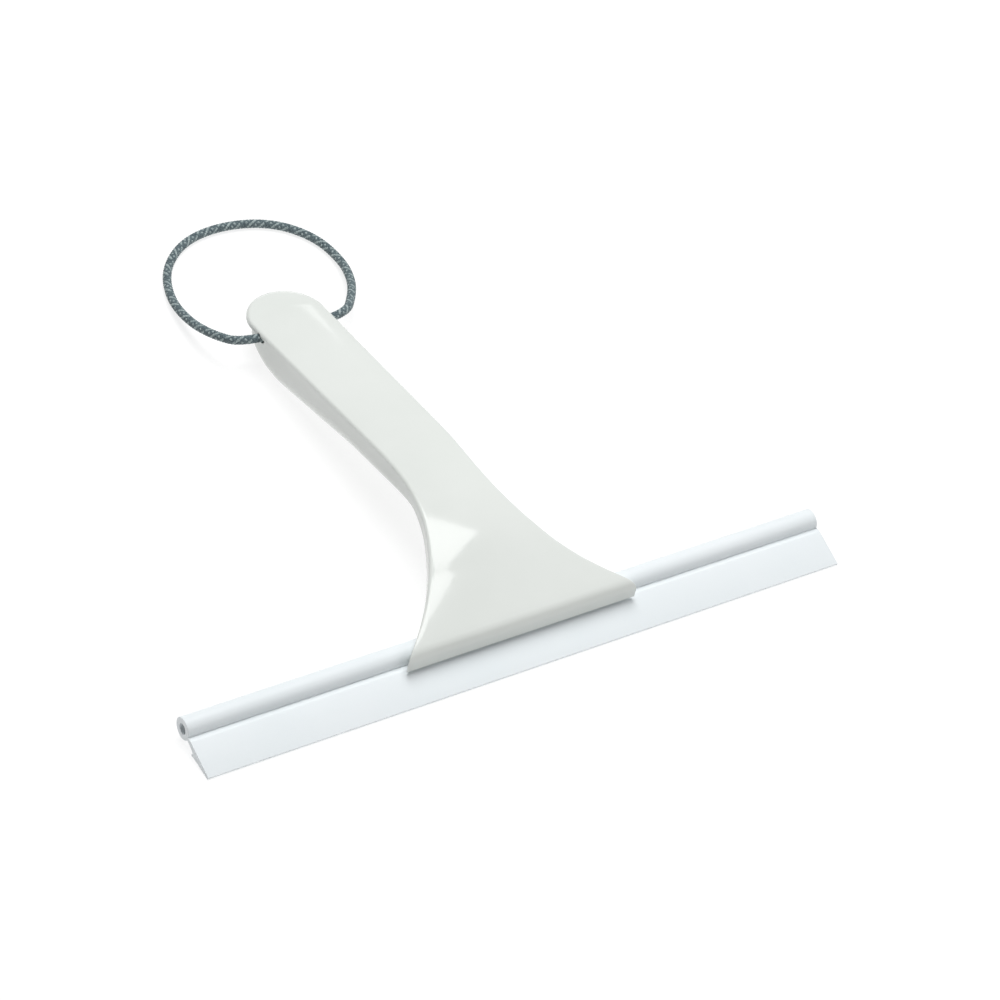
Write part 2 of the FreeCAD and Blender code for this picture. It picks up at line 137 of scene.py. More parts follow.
# The loop's route, in X, station and height: half-turn about the grip's end.
LOOP_ROUTE = [
    (-8.5, 161.8, 12.6), (-20.5, 161.8, 12.6), (-25.9, 172.0, 9.6), (-27.3, 186.0, 4.9),
    (-25.8, 202.0, 1.8), (-19.6, 217.0, 1.65), (-6.4, 228.0, 1.65), (11.0, 230.6, 1.65),
    (28.1, 225.6, 1.65), (38.7, 213.0, 1.65), (41.1, 197.5, 1.8), (36.8, 184.0, 4.7),
    (29.6, 172.8, 8.6), (20.5, 161.8, 12.6), (8.5, 161.8, 12.6),
]


def spline_points(route, steps):
    """Points read from a smooth NURBS spline whose control points are the route."""
    curve = bpy.data.curves.new("route", "CURVE")
    curve.dimensions = "3D"
    curve.resolution_u = steps
    spline = curve.splines.new("NURBS")
    spline.points.add(len(route) - 1)
    for point, place in zip(spline.points, route):
        point.co = (*metres(*place), 1.0)
    spline.order_u = 3
    spline.use_endpoint_u = True
    carrier = bpy.data.objects.new("route", curve)
    scene.collection.objects.link(carrier)
    bpy.context.view_layer.update()
    depsgraph = bpy.context.evaluated_depsgraph_get()
    mesh = bpy.data.meshes.new_from_object(carrier.evaluated_get(depsgraph))
    points = [v.co.copy() for v in mesh.vertices]
    bpy.data.meshes.remove(mesh)
    bpy.data.objects.remove(carrier)
    bpy.data.curves.remove(curve)
    return points


def evenly(points, gap):
    """The same line, in equal steps of about the gap."""
    line = np.array([tuple(p) for p in points])
    reach = np.concatenate([[0.0], np.cumsum(np.linalg.norm(np.diff(line, axis=0), axis=1))])
    count = int(round(reach[-1] / gap)) + 1
    wanted = np.linspace(0.0, reach[-1], count)
    return np.stack([np.interp(wanted, reach, line[:, k]) for k in range(3)], axis=1), wanted


def carried_frames(line):
    """Two side directions that turn as little as possible along the line."""
    tangent = np.gradient(line, axis=0)
    tangent /= np.linalg.norm(tangent, axis=1)[:, None]
    side = np.zeros_like(tangent)
    start = np.cross(tangent[0], (0.0, 0.0, 1.0))
    side[0] = start / np.linalg.norm(start)
    for i in range(1, len(line)):
        moved = side[i - 1] - tangent[i] * np.dot(side[i - 1], tangent[i])
        side[i] = moved / np.linalg.norm(moved)
    return side, np.cross(tangent, side)


# ---------------------------------------------------------------- materials

def node_material(name):
    material = bpy.data.materials.new(name)
    material.use_nodes = True
    tree = material.node_tree
    return material, tree, tree.nodes["Principled BSDF"]


def noise(tree, scale, detail=3.0, roughness=0.55):
    """Noise over the piece's own coordinates, in features per metre."""
    place = tree.nodes.new("ShaderNodeTexCoord")
    texture = tree.nodes.new("ShaderNodeTexNoise")
    texture.inputs["Scale"].default_value = scale
    texture.inputs["Detail"].default_value = detail
    texture.inputs["Roughness"].default_value = roughness
    tree.links.new(place.outputs["Object"], texture.inputs["Vector"])
    return texture.outputs["Fac"]


def ramp(tree, source, low, high, start=0.35, end=0.65):
    """A colour between low and high, by the source value."""
    node = tree.nodes.new("ShaderNodeValToRGB")
    stops = node.color_ramp.elements
    stops[0].position, stops[1].position = start, end
    stops[0].color, stops[1].color = (*low, 1.0), (*high, 1.0)
    tree.links.new(source, node.inputs["Fac"])
    return node.outputs["Color"]


def between(tree, source, low, high):
    node = tree.nodes.new("ShaderNodeMapRange")
    node.inputs["From Min"].default_value = 0.3
    node.inputs["From Max"].default_value = 0.7
    node.inputs["To Min"].default_value = low
    node.inputs["To Max"].default_value = high
    tree.links.new(source, node.inputs["Value"])
    return node.outputs["Result"]


def bump(tree, shader, height, strength, distance):
    node = tree.nodes.new("ShaderNodeBump")
    node.inputs["Strength"].default_value = strength
    node.inputs["Distance"].default_value = distance
    tree.links.new(height, node.inputs["Height"])
    tree.links.new(node.outputs["Normal"], shader.inputs["Normal"])


def handle_plastic():
    """Glossy injection-moulded plastic, off-white with a trace of green."""
    material, tree, shader = node_material("handle_plastic")
    cloud = noise(tree, 26.0)
    colour = ramp(tree, cloud, (0.735, 0.765, 0.735), (0.760, 0.788, 0.760))
    tree.links.new(colour, shader.inputs["Base Color"])
    tree.links.new(between(tree, noise(tree, 160.0), 0.07, 0.11), shader.inputs["Roughness"])
    shader.inputs["IOR"].default_value = 1.52
    shader.inputs["Coat Weight"].default_value = 0.25
    shader.inputs["Coat Roughness"].default_value = 0.05
    bump(tree, shader, noise(tree, 320.0, 2.0), 0.05, 0.0002)
    return material


def blade_rubber():
    """Soft white blade rubber with fine lines along its length from extrusion."""
    material, tree, shader = node_material("blade_rubber")
    colour = ramp(tree, noise(tree, 18.0), (0.795, 0.845, 0.865), (0.825, 0.865, 0.885))
    tree.links.new(colour, shader.inputs["Base Color"])
    tree.links.new(between(tree, noise(tree, 90.0), 0.36, 0.48), shader.inputs["Roughness"])
    place = tree.nodes.new("ShaderNodeTexCoord")
    stretch = tree.nodes.new("ShaderNodeMapping")
    stretch.inputs["Scale"].default_value = (6.0, 1800.0, 1800.0)
    tree.links.new(place.outputs["Object"], stretch.inputs["Vector"])
    lines = tree.nodes.new("ShaderNodeTexNoise")
    lines.inputs["Scale"].default_value = 1.0
    lines.inputs["Detail"].default_value = 2.0
    tree.links.new(stretch.outputs["Vector"], lines.inputs["Vector"])
    bump(tree, shader, lines.outputs["Fac"], 0.12, 0.0001)
    return material


def yarn(name, low, high):
    """Twisted polyester yarn: fine fibres across the strand."""
    material, tree, shader = node_material(name)
    tree.links.new(ramp(tree, noise(tree, 1500.0, 4.0), low, high), shader.inputs["Base Color"])
    tree.links.new(between(tree, noise(tree, 700.0), 0.45, 0.65), shader.inputs["Roughness"])
    shader.inputs["Sheen Weight"].default_value = 0.15
    shader.inputs["Sheen Roughness"].default_value = 0.4
    bump(tree, shader, noise(tree, 4200.0, 2.0), 0.5, 0.00015)
    return material


def brushed_metal(name, shade, roughness):
    material, tree, shader = node_material(name)
    shader.inputs["Metallic"].default_value = 1.0
    low = tuple(c * 0.9 for c in shade)
    tree.links.new(ramp(tree, noise(tree, 400.0), low, shade), shader.inputs["Base Color"])
    tree.links.new(between(tree, noise(tree, 900.0), roughness - 0.06, roughness + 0.06),
                   shader.inputs["Roughness"])
    bump(tree, shader, noise(tree, 2500.0, 2.0), 0.08, 0.0001)
    return material


PLASTIC = handle_plastic()
RUBBER = blade_rubber()
YARN_DARK = yarn("cord_dark", (0.078, 0.108, 0.122), (0.150, 0.200, 0.215))
YARN_LIGHT = yarn("cord_light", (0.25, 0.315, 0.32), (0.43, 0.50, 0.50))
YARN_CORE = yarn("cord_core", (0.020, 0.030, 0.034), (0.045, 0.060, 0.066))
ALUMINIUM = brushed_metal("rod_aluminium", (0.78, 0.79, 0.80), 0.34)
STEEL = brushed_metal("screw_steel", (0.62, 0.62, 0.64), 0.28)


# ---------------------------------------------------------------- mesh helpers

MERGE_GAP = 1e-7           # metres; points nearer than this are one
CREASE_ANGLE = 40.0        # degrees; a sharper edge stays crisp


def piece_from(name, vertices, faces, materials, smooth_angle=CREASE_ANGLE):
    """A mesh object from points in metres, with edges sharper than the angle kept crisp."""
    mesh = bpy.data.meshes.new(name)
    mesh.from_pydata([tuple(v) for v in vertices], [], faces)
    mesh.update()
    shape = bmesh.new()
    shape.from_mesh(mesh)
    bmesh.ops.remove_doubles(shape, verts=shape.verts, dist=MERGE_GAP)
    bmesh.ops.dissolve_degenerate(shape, edges=shape.edges, dist=MERGE_GAP)
    bmesh.ops.recalc_face_normals(shape, faces=shape.faces)
    shape.to_mesh(mesh)
    shape.free()
    for material in materials:
        mesh.materials.append(material)
    finish_shading(mesh, smooth_angle)
    thing = bpy.data.objects.new(name, mesh)
    scene.collection.objects.link(thing)
    return thing


def finish_shading(mesh, angle):
    mesh.polygons.foreach_set("use_smooth", [True] * len(mesh.polygons))
    mesh.set_sharp_from_angle(angle=math.radians(angle))
    mesh.update()


def carve(thing, cutters, join=False):
    """Cuts the closed cutter meshes out of the piece, or joins them to it, and removes them."""
    for cutter in cutters:
        step = thing.modifiers.new("cut", "BOOLEAN")
        step.operation = "UNION" if join else "DIFFERENCE"
        step.solver = "EXACT"
        step.object = cutter
    bpy.context.view_layer.update()
    depsgraph = bpy.context.evaluated_depsgraph_get()
    result = bpy.data.meshes.new_from_object(thing.evaluated_get(depsgraph))
    thing.modifiers.clear()
    old = thing.data
    thing.data = result
    bpy.data.meshes.remove(old)
    result.name = thing.name
    finish_shading(result, CREASE_ANGLE)
    for cutter in cutters:
        bpy.data.objects.remove(cutter)


def rod_along_x(name, station, z, radius, half_length, sides=72):
    """A closed round rod across the tool, used as a cutter."""
    vertices, faces = [], []
    for end in (-half_length, half_length):
        for i in range(sides):
            turn = 2 * math.pi * i / sides
            vertices.append(metres(end, station + radius * math.cos(turn), z + radius * math.sin(turn)))
    for i in range(sides):
        j = (i + 1) % sides
        faces.append((i, j, sides + j, sides + i))
    faces.append(tuple(range(sides)))
    faces.append(tuple(range(2 * sides - 1, sides - 1, -1)))
    return piece_from(name, vertices, faces, [])


# ---------------------------------------------------------------- handle outline

def half_width(station):
    if station < FLARE_END:
        left = 1 - (max(station, NOSE) - NOSE) / (FLARE_END - NOSE)
        return WAIST_HALF + (HOLDER_HALF - WAIST_HALF) * left ** FLARE_POWER
    share = (station - FLARE_END) / (END_CENTRE - FLARE_END)
    return WAIST_HALF + (GRIP_HALF - WAIST_HALF) * min(share, 1.0)


def flare_line(station):
    return CREST[1] + FLARE_SLOPE * (station - CREST[0])


def grip_line(station):
    return CREST[1] - GRIP_SLOPE * (station - CREST[0])


FLARE_ANGLE, GRIP_ANGLE = math.atan(FLARE_SLOPE), math.atan(GRIP_SLOPE)
CREST_REACH = CREST_RADIUS * math.tan((FLARE_ANGLE + GRIP_ANGLE) / 2)
CREST_START = CREST[0] - CREST_REACH * math.cos(FLARE_ANGLE)
CREST_CENTRE = (CREST_START + CREST_RADIUS * math.sin(FLARE_ANGLE),
                flare_line(CREST_START) - CREST_RADIUS * math.cos(FLARE_ANGLE))
CREST_STOP = CREST_CENTRE[0] + CREST_RADIUS * math.sin(GRIP_ANGLE)


def top_height(station):
    """Height of the front face along its middle line, from the flare to the end's crease."""
    if station < CREST_START:
        return flare_line(station)
    if station < CREST_STOP:
        aside = station - CREST_CENTRE[0]
        return CREST_CENTRE[1] + math.sqrt(CREST_RADIUS ** 2 - aside ** 2)
    return grip_line(station)


def fold_drop(x, station):
    """How far the curved crease lowers the face beyond it; less than zero where it lifts it."""
    past = station - (FOLD - FOLD_BOW * (x / GRIP_HALF) ** 2)
    if past < -FOLD_SOFTNESS:
        return 0.0
    if past < FOLD_SOFTNESS:
        return FOLD_SLOPE * (past + FOLD_SOFTNESS) ** 2 / (4 * FOLD_SOFTNESS)
    return FOLD_SLOPE * past


PARTING_RISEN = BEAD[0] + PARTING_RISE
PAST_END = LENGTH + 5.0
# Side view of the line along which the two shells meet, from the channel to past the end.
PARTING = [
    (BEAD[0] + PARTING_START, BEAD[1]),
    (PARTING_RISEN, flare_line(PARTING_RISEN) - SKIRT_DEPTH),
    (SKIRT_END, flare_line(SKIRT_END) - SKIRT_DEPTH),
    (FLARE_END, grip_line(FLARE_END) - RIM_DEPTH - WAIST_DROP),
    (RIM_START, grip_line(RIM_START) - RIM_DEPTH),
    (PAST_END, grip_line(PAST_END) - FOLD_SLOPE * (PAST_END - RIM_FOLD) - RIM_DEPTH),
]


def walk(corners, gap):
    """Points along a broken line of (station, height), in steps of about the gap, ends kept."""
    places = [corners[0]]
    for (s0, z0), (s1, z1) in zip(corners, corners[1:]):
        steps = max(1, round(math.hypot(s1 - s0, z1 - z0) / gap))
        places += [(s0 + (s1 - s0) * i / steps, z0 + (z1 - z0) * i / steps) for i in range(1, steps + 1)]
    return places


def softened(corners, radii, arc_steps=10):
    """The broken line with a tangent arc at each corner that has a radius."""
    line = [corners[0]]
    for index in range(1, len(corners) - 1):
        here = Vector(corners[index])
        back = (Vector(corners[index - 1]) - here).normalized()
        ahead = (Vector(corners[index + 1]) - here).normalized()
        radius = radii.get(index, 0.0)
        if not radius:
            line.append(corners[index])
            continue
        half = back.angle(ahead) / 2
        reach = radius / math.tan(half)
        middle = here + (back + ahead).normalized() * (radius / math.sin(half))
        first, last = here + back * reach - middle, here + ahead * reach - middle
        for i in range(arc_steps + 1):
            spoke = first.slerp(last, i / arc_steps)
            line.append(tuple(middle + spoke * radius / spoke.length))
    line.append(corners[-1])
    return line


def rows_along(line, outward):
    """(station, height, normal) at each point of a side-view line; outward is 1 or -1."""
    rows = []
    for i, (station, height) in enumerate(line):
        before, after = line[max(i - 1, 0)], line[min(i + 1, len(line) - 1)]
        run, rise = after[0] - before[0], after[1] - before[1]
        size = math.hypot(run, rise)
        rows.append((station, height, (-rise / size * outward, run / size * outward)))
    return rows


def line_share(line):
    """Each point's distance along the line as a share of its length."""
    legs = [0.0] + [math.dist(a, b) for a, b in zip(line, line[1:])]
    total = np.cumsum(legs)
    return total / total[-1]


def along(line, shares):
    own = line_share(line)
    return [(float(np.interp(s, own, [p[0] for p in line])), float(np.interp(s, own, [p[1] for p in line])))
            for s in shares]


FILLET_STEPS = 6
FACE_COLUMNS = 22          # from the middle to the start of the rounded edge
WALL_STEPS = 5


def conic(start, corner, end, t):
    """A point on a quarter-circle-like curve from start to end, tangent to both legs."""
    weight = math.sqrt(0.5)
    a, b, c = (1 - t) ** 2, 2 * t * (1 - t) * weight, t ** 2
    return (start * a + corner * b + end * c) / (a + b + c)


def half_section(row, foot, inset, radius, drop):
    """Points from the middle line out over the rounded edge and along the side wall, +X side.

    drop gives how far a point at (x, station) lies inside the middle line's level."""
    station, height, normal = row
    inwards = Vector((0.0, -normal[0], -normal[1]))
    centre = Vector((0.0, station, height))

    def reach(at):
        return half_width(at) - inset

    width = reach(station)
    radius = min(radius, 0.8 * math.dist((station, height), foot))
    edge = centre + inwards * drop(width, station)
    corner = Vector((reach(edge.y), edge.y, edge.z))
    low = edge + inwards * radius
    wall_top = Vector((reach(low.y), low.y, low.z))
    slope = (half_width(station + 0.1) - half_width(station - 0.1)) / 0.2
    start_x = corner.x - radius * math.sqrt(1 + slope ** 2)
    points = []
    for i in range(FACE_COLUMNS + 1):
        x = start_x * i / FACE_COLUMNS
        points.append(centre + Vector((x, 0.0, 0.0)) + inwards * drop(x, station))
    start = points.pop()
    points += [conic(start, corner, wall_top, i / FILLET_STEPS) for i in range(FILLET_STEPS + 1)]
    for i in range(1, WALL_STEPS + 1):
        share = i / WALL_STEPS
        s = wall_top.y + (foot[0] - wall_top.y) * share
        points.append(Vector((reach(s), s, wall_top.z + (foot[1] - wall_top.z) * share)))
    return points


def closed_shape(name, halves, spokes, materials):
    """A closed solid from mirrored half sections, and a fan of spokes round the grip's end.

    A section runs from the middle of the face to the wall's foot. The side opposite the
    face joins the feet, with as many points as the face has."""
    vertices, faces = [], []

    def back_side(section, middle):
        last = len(section) - 1
        return [middle.lerp(section[-1], i / last) for i in range(last + 1)]

    def mirrored(points):
        return [Vector((-p.x, p.y, p.z)) for p in points]

    loops = []
    for half in halves:
        middle = Vector((0.0, half[-1].y, half[-1].z))
        back = back_side(half, middle)
        loops.append(mirrored(half[:0:-1]) + half + back[-2:0:-1] + [back[0]] + mirrored(back[1:-1]))
    size = len(loops[0])
    faces.append(tuple(range(size - 1, -1, -1)))
    for loop in loops:
        vertices.extend(loop)
    for r in range(len(loops) - 1):
        for i in range(size):
            j = (i + 1) % size
            faces.append((r * size + i, r * size + j, (r + 1) * size + j, (r + 1) * size + i))
    middle = Vector((0.0, halves[-1][-1].y, halves[-1][-1].z))
    fan = [halves[-1]] + spokes[1:-1] + [mirrored(halves[-1])]
    base = len(vertices)
    for spoke in fan:
        vertices.extend(list(spoke) + back_side(spoke, middle)[-2::-1])
    length = 2 * len(fan[0]) - 1
    for k in range(len(fan) - 1):
        for i in range(length - 1):
            a = base + k * length + i
            faces.append((a, a + 1, a + 1 + length, a + length))
    return piece_from(name, [metres(p.x, p.y, p.z) for p in vertices], faces, materials)


SPOKES = 44


def end_spokes(face, foot_of, rim, radius):
    """Sections round the grip's end: face gives heights, foot_of the wall's foot height,
    rim the outline's distance from the end's centre at a turn, radius the edge rounding."""
    spokes = []
    way = 1.0 if foot_of(END_CENTRE) > face(0.0, END_CENTRE) else -1.0
    for k in range(SPOKES + 1):
        turn = math.pi * k / SPOKES
        out = Vector((math.cos(turn), math.sin(turn), 0.0))

        def at(distance):
            point = Vector((0.0, END_CENTRE, 0.0)) + out * distance
            point.z = face(point.x, point.y)
            return point

        corner = at(rim(turn))
        foot = foot_of(corner.y)
        rounding = min(radius, 0.8 * abs(foot - corner.z))
        wall_top = corner + Vector((0.0, 0.0, way * rounding))
        points = [at((rim(turn) - rounding) * i / FACE_COLUMNS) for i in range(FACE_COLUMNS + 1)]
        start = points.pop()
        points += [conic(start, corner, wall_top, i / FILLET_STEPS) for i in range(FILLET_STEPS + 1)]
        for i in range(1, WALL_STEPS + 1):
            point = wall_top.copy()
            point.z += (foot - wall_top.z) * i / WALL_STEPS
            points.append(point)
        spokes.append(points)
    return spokes


def parting_height(station):
    return float(np.interp(station, *zip(*PARTING)))


# ---------------------------------------------------------------- front shell

EDGE_GROWTH = 14.0         # the edge's rounding is full this far behind the nose
NOSE_EDGE_SHARE = 0.3      # and has this share of its radius at the nose
END_DROP = 0.3             # how far the very end of the face falls
CROWN_START = 4.0          # the face is straight from side to side up to here behind the nose
CROWN_GROWTH = 18.0        # and fully convex this much further on
OPEN_PAST = 4.0            # a hollow runs this far past the parting line, so it is open there
CUTTER_OVERHANG = 10.0
NOSE_LAP = 1.2             # the nose's foot reaches this far back under the roll


def crown_drop(x, station):
    """The front face is slightly convex from side to side, and straight at the nose."""
    grown = min(1.0, max(0.0, (station - NOSE - CROWN_START) / CROWN_GROWTH))
    return CROWN * grown * (x / max(half_width(station), 1.0)) ** 2


def front_face_line():
    """Side view of the front face: up the nose, over the roll, to the end's centre."""
    nose = softened([(NOSE, ROLL_FOOT), (NOSE, flare_line(NOSE)), (CREST_START, flare_line(CREST_START))],
                    {1: ROLL_RADIUS}, 16)
    line = walk(nose[:2], 0.5) + nose[2:-1]
    line += walk([nose[-2], nose[-1]], 1.3)[1:]
    stations = list(np.linspace(CREST_START, CREST_STOP, 46)[1:])
    stations += list(np.linspace(CREST_STOP, END_CENTRE - 6.0, 36)[1:])
    stations += list(np.linspace(END_CENTRE - 6.0, END_CENTRE, 15)[1:])
    return line + [(s, top_height(s)) for s in stations]


def front_shape(name, line, under, materials):
    """The front shell's outer form, closed below along the under line and the parting line."""
    rows = rows_along(line, 1)
    nose = [place for place in line if place[0] <= under[-1][0]]
    feet = along(under, line_share(line[:len(nose)]))

    def drop(x, station):
        return crown_drop(x, station) + fold_drop(x, station)

    halves = []
    for i, row in enumerate(rows):
        if i < len(feet):
            foot = feet[i]
        else:
            station = row[0] - row[2][0] * (CROWN + EDGE_RADIUS)
            foot = (station, parting_height(station))
        grown = min(1.0, max(0.0, (row[0] - NOSE) / EDGE_GROWTH))
        rounding = EDGE_RADIUS * (NOSE_EDGE_SHARE + (1.0 - NOSE_EDGE_SHARE) * grown)
        halves.append(half_section(row, foot, 0.0, rounding, drop))

    def face(x, station):
        outward = max(0.0, station - END_CENTRE) / GRIP_HALF
        crown = crown_drop(x, min(station, END_CENTRE))
        return grip_line(station) - crown - fold_drop(x, station) - END_DROP * outward ** 3

    spokes = end_spokes(face, parting_height, lambda turn: GRIP_HALF, EDGE_RADIUS)
    return closed_shape(name, halves, spokes, materials)


def cavity_box(name, start, stop, inset, top, bottom):
    """A closed hollow along the grip between two side-view lines, used as a cutter."""
    stations = [start + (stop - start) * i / 60 for i in range(61)]
    vertices, faces = [], []
    for s in stations:
        width = half_width(min(s, END_CENTRE)) - inset
        if s > END_CENTRE:
            width = math.sqrt(max(0.01, (GRIP_HALF - inset) ** 2 - (s - END_CENTRE) ** 2))
        for x, z in ((-width, bottom(s)), (width, bottom(s)), (width, top(s)), (-width, top(s))):
            vertices.append(metres(x, s, z))
    for r in range(len(stations) - 1):
        for i in range(4):
            j = (i + 1) % 4
            faces.append((r * 4 + i, r * 4 + j, (r + 1) * 4 + j, (r + 1) * 4 + i))
    faces.append((0, 1, 2, 3))
    faces.append(tuple(len(vertices) - 4 + i for i in range(4)))
    return piece_from(name, vertices, faces, [])


def upright(name, station, low, high, radius, sides=40):
    """A closed upright cylinder on the middle line, used as a cutter or a post."""
    vertices, faces = [], []
    for z in (low, high):
        for i in range(sides):
            turn = 2 * math.pi * i / sides
            vertices.append(metres(radius * math.cos(turn), station + radius * math.sin(turn), z))
    for i in range(sides):
        j = (i + 1) % sides
        faces.append((i, j, sides + j, sides + i))
    faces.append(tuple(range(sides)))
    faces.append(tuple(range(2 * sides - 1, sides - 1, -1)))
    return piece_from(name, vertices, faces, [])


def cross_cutters(name):
    """Cutters for the bead's channel and the cord's hole, which both run across the handle."""
    return [
        rod_along_x(name + "_channel", *BEAD, CHANNEL_RADIUS, HOLDER_HALF + CUTTER_OVERHANG),
        rod_along_x(name + "_bore", *CORD_AXIS, CORD_HOLE_RADIUS, GRIP_HALF + CUTTER_OVERHANG),
    ]


def front_shell():
    under = [(NOSE + NOSE_LAP, ROLL_FOOT), (BEAD[0], ROLL_FOOT), PARTING[0], PARTING[1]]
    shell = front_shape("handle_front", front_face_line(), under, [PLASTIC])
    hollow = cavity_box("front_hollow", CAVITY_START, CAVITY_END, WALL,
                        lambda s: top_height(s) - WALL - CROWN, lambda s: parting_height(s) - OPEN_PAST)
    carve(shell, [hollow] + cross_cutters("front"))
    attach(shell, "handle")
    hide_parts("front_shell")


# ---------------------------------------------------------------- rear shell

JAW_REACH = 2.6            # the jaw's front lies this far before the bead's axis
JAW_FLAT = 1.6             # its flat foot ends this far behind the axis
JAW_HEEL = (6.2, 3.4)      # distance behind the axis and height of the jaw's heel
JAW_MOUTH = 1.4            # the jaw's upper edge lies this far before the axis
PLATE_START = 10.0         # the plate under the flare starts this far behind the axis
UNDERSIDE_RADII = (0.6, 2.0, 3.0, 4.0, 35.0, 30.0)
BELLY_GROWTH = (58.0, 45.0)  # station where the edge starts to grow rounder, and over what length
FLARE_EDGE_RADIUS = 1.0
STERN_POWER = 2.3          # plan of the stern, between an ellipse and a rectangle
POST_WALL = 1.9            # wall round a screw's recess, and over its seat
RECESS_CLEARANCE = 0.3
RECESS_FOOT = -30.0        # the cutter starts well below the shell
HOLLOW_INSET = REAR_INSET + WALL + 1.0
HOLLOW_FLOOR = WALL + 0.4


def rear_face_line():
    """Side view of the underside: round the jaw, under the flare, along the belly, up the stern."""
    jaw = BEAD[0] - JAW_REACH
    heel = BEAD[0] + JAW_HEEL[0]
    plate = SKIRT_DEPTH + PLATE_DEPTH
    plate_start = BEAD[0] + PLATE_START
    meet = (flare_line(0) - plate - BELLY_SLOPE * PAD_START) / -(FLARE_SLOPE + BELLY_SLOPE)
    corners = [(jaw, BEAD[1]), (jaw, JAW_FOOT), (BEAD[0] + JAW_FLAT, JAW_FOOT), (heel, JAW_HEEL[1]),
               (plate_start, flare_line(plate_start) - plate), (meet, belly(meet)),
               (PAD_START, 0.0), (STERN_START, 0.0)]
    line = softened(corners, dict(enumerate(UNDERSIDE_RADII, start=1)), 8)
    dense = [line[0]]
    for a, b in zip(line, line[1:]):
        dense += walk([a, b], 2.0)[1:]
    rise = END_CENTRE - STERN_START
    for i in range(1, 13):
        aside = rise * i / 12
        dense.append((STERN_START + aside, stern(STERN_START + aside)))
    return dense


def belly(station):
    return BELLY_SLOPE * (PAD_START - station)


def stern(station):
    aside = min(max(0.0, station - STERN_START), 0.995 * STERN_RADIUS)
    return STERN_RADIUS - math.sqrt(STERN_RADIUS ** 2 - aside ** 2)


def rear_shell():
    line = rear_face_line()
    rows = rows_along(line, -1)
    jaw_rows = [i for i, place in enumerate(line) if place[0] <= PARTING[1][0] + 1.0]
    top = [(BEAD[0] - JAW_MOUTH, BEAD[1]), PARTING[0], PARTING[1]]
    feet = along(top, line_share(line[:len(jaw_rows)]))
    halves = []
    for i, row in enumerate(rows):
        station = row[0]
        if station > PAD_START:
            row = (station, row[1], (0.0, -1.0))
        foot = feet[i] if i < len(feet) else (station, parting_height(station))
        grown = min(1.0, max(0.0, (station - BELLY_GROWTH[0]) / BELLY_GROWTH[1]))
        radius = FLARE_EDGE_RADIUS + (BELLY_RADIUS - FLARE_EDGE_RADIUS) * grown
        halves.append(half_section(row, foot, REAR_INSET, radius, lambda x, s: 0.0))
    inner = GRIP_HALF - REAR_INSET

    def rim(turn):
        a, b = abs(math.cos(turn)) / inner, abs(math.sin(turn)) / STERN_LENGTH
        return (a ** STERN_POWER + b ** STERN_POWER) ** (-1 / STERN_POWER)

    spokes = end_spokes(lambda x, s: stern(s), parting_height, rim, BELLY_RADIUS)
    shell = closed_shape("handle_rear", halves, spokes, [PLASTIC])
    hollow = cavity_box("rear_hollow", FLARE_END - 4.0, END_CENTRE + 1.0, HOLLOW_INSET,
                        lambda s: parting_height(s) + OPEN_PAST,
                        lambda s: max(belly(s), stern(s)) + HOLLOW_FLOOR)
    posts, recesses = [], []
    for i, s in enumerate(SCREW_STATIONS):
        seat = grip_line(s) - SEAT_DEPTH
        post_radius = SCREW_HEAD_RADIUS + POST_WALL
        posts.append(upright(f"post_{i}", s, belly(s) + 1.0, seat + POST_WALL, post_radius))
        recesses.append(upright(f"recess_{i}", s, RECESS_FOOT, seat, SCREW_HEAD_RADIUS + RECESS_CLEARANCE))
    carve(shell, [hollow])
    carve(shell, posts, join=True)
    carve(shell, recesses + cross_cutters("rear"))
    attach(shell, "handle")
    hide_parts("rear_shell")


front_shell()
rear_shell()


# ---------------------------------------------------------------- blade

def extruded(name, loops, bevel, material, node):
    """A profile extended along the blade with slightly broken ends.

    loops are closed outlines of (station, height) with equal counts: one, or an outer and a hole."""
    half = BLADE_LENGTH / 2
    sections = [(-half, bevel), (-half + bevel, 0.0)]
    sections += [(-half + bevel + (BLADE_LENGTH - 2 * bevel) * i / 12, 0.0) for i in range(1, 12)]
    sections += [(half - bevel, 0.0), (half, bevel)]
    vertices, faces = [], []
    count = len(loops[0])
    stride = count * len(loops)
    for x, shrink in sections:
        for order, loop in enumerate(loops):
            inward = shrink if order == 0 else -shrink
            for i in range(count):
                here = Vector(loop[i])
                tangent = (Vector(loop[(i + 1) % count]) - Vector(loop[i - 1])).normalized()
                aside = Vector((-tangent.y, tangent.x)) * inward
                vertices.append(metres(x, *(here + aside)))
    for r in range(len(sections) - 1):
        for order in range(len(loops)):
            base = order * count
            for i in range(count):
                j = (i + 1) % count
                a, b = r * stride + base, (r + 1) * stride + base
                faces.append((a + i, a + j, b + j, b + i))
    for r in (0, len(sections) - 1):
        a = r * stride
        if len(loops) == 2:
            for i in range(count):
                j = (i + 1) % count
                faces.append((a + i, a + j, a + count + j, a + count + i))
        else:
            faces.append(tuple(a + i for i in range(count)))
    thing = piece_from(name, vertices, faces, [material], 32.0)
    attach(thing, node[1])
    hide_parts(node[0])


def bead_outline(sides=96):
    """The bead's round outline, counter-clockwise, with the groove for the lip's root."""
    to_hinge = Vector((HINGE[0] - BEAD[0], HINGE[1] - BEAD[1]))
    groove = NECK_RADIUS + 0.05
    outline = []
    for i in range(sides):
        turn = 2 * math.pi * i / sides
        way = Vector((math.cos(turn), math.sin(turn)))
        radius = BEAD_RADIUS
        aside = abs(way.x * to_hinge.y - way.y * to_hinge.x)
        if way.dot(to_hinge) > 0 and aside < groove:
            radius = min(radius, way.dot(to_hinge) - math.sqrt(groove ** 2 - aside ** 2))
        outline.append((BEAD[0] + radius * way.x, BEAD[1] + radius * way.y))
    return outline


